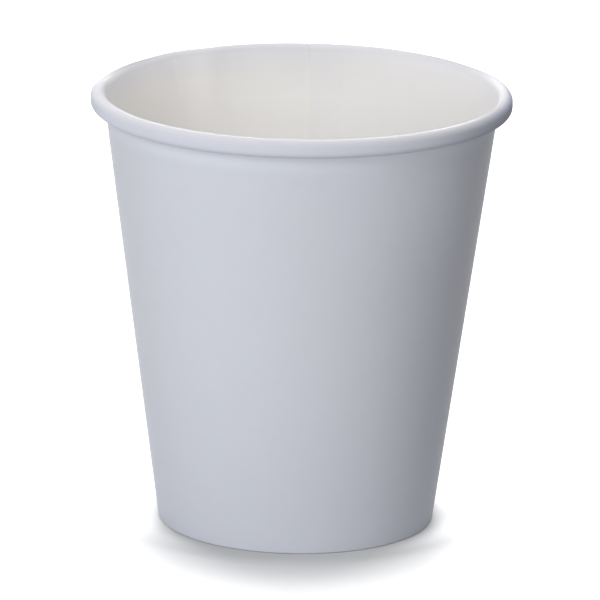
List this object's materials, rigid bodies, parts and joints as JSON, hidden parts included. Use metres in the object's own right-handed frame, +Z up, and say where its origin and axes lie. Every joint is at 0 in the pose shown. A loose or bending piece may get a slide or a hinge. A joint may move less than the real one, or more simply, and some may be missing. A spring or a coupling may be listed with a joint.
{
  "type": "paper cup",
  "caption": "Tapered single-wall paper cup for hot drinks, with a rolled rim, a lapped side seam, a folded foot and a raised flat bottom.",
  "frame": {"origin": "centre of the foot ring, on the surface that the cup stands on", "axes": "+Z up the cup's axis to the mouth, +Y from the axis to the side seam at the back, +X to the right for someone who faces the side away from the seam"},
  "size_m": [0.09, 0.09, 0.0942],
  "materials": {
    "sidewall_board": "matte",
    "bottom_board": "matte"
  },
  "bodies": {
    "root": {"sidewall": "sidewall_board", "bottom_disc": "bottom_board"}
  },
  "joints": []
}
